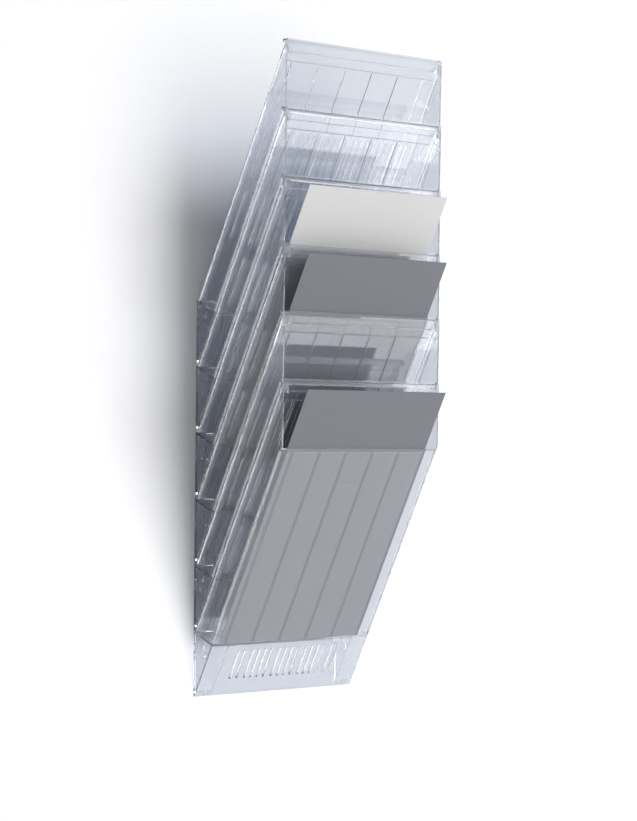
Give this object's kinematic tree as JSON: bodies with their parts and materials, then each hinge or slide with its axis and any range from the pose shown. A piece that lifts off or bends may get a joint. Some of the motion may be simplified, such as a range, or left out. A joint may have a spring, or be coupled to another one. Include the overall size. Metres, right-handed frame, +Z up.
{
  "type": "magazine rack",
  "caption": "Wall-hung rack of tilted clear plastic pockets for A4 magazines and leaflets, stacked like shingles; each pocket is a tray with a slotted back panel.",
  "frame": {"origin": "centre of the four wall screws, on the wall plane", "axes": "+X across the rack to the viewer's right, -Y out of the wall towards the viewer, +Z up"},
  "size_m": [0.238, 0.1662, 0.686],
  "materials": {
    "clear_tray": "clear moulded polystyrene, polished",
    "clear_back": "clear moulded polystyrene, polished",
    "screw_steel": "bright zinc plated",
    "plug_nylon": "plain grey nylon"
  },
  "bodies": {
    "root": {"tray_1": "clear_tray", "tray_2": "clear_tray", "tray_3": "clear_tray", "tray_4": "clear_tray", "tray_5": "clear_tray", "tray_6": "clear_tray", "back_panel_1": "clear_back", "back_panel_2": "clear_back", "back_panel_3": "clear_back", "back_panel_4": "clear_back", "back_panel_5": "clear_back", "back_panel_6": "clear_back", "wall_screws": "screw_steel", "wall_plugs": "plug_nylon"}
  },
  "joints": []
}
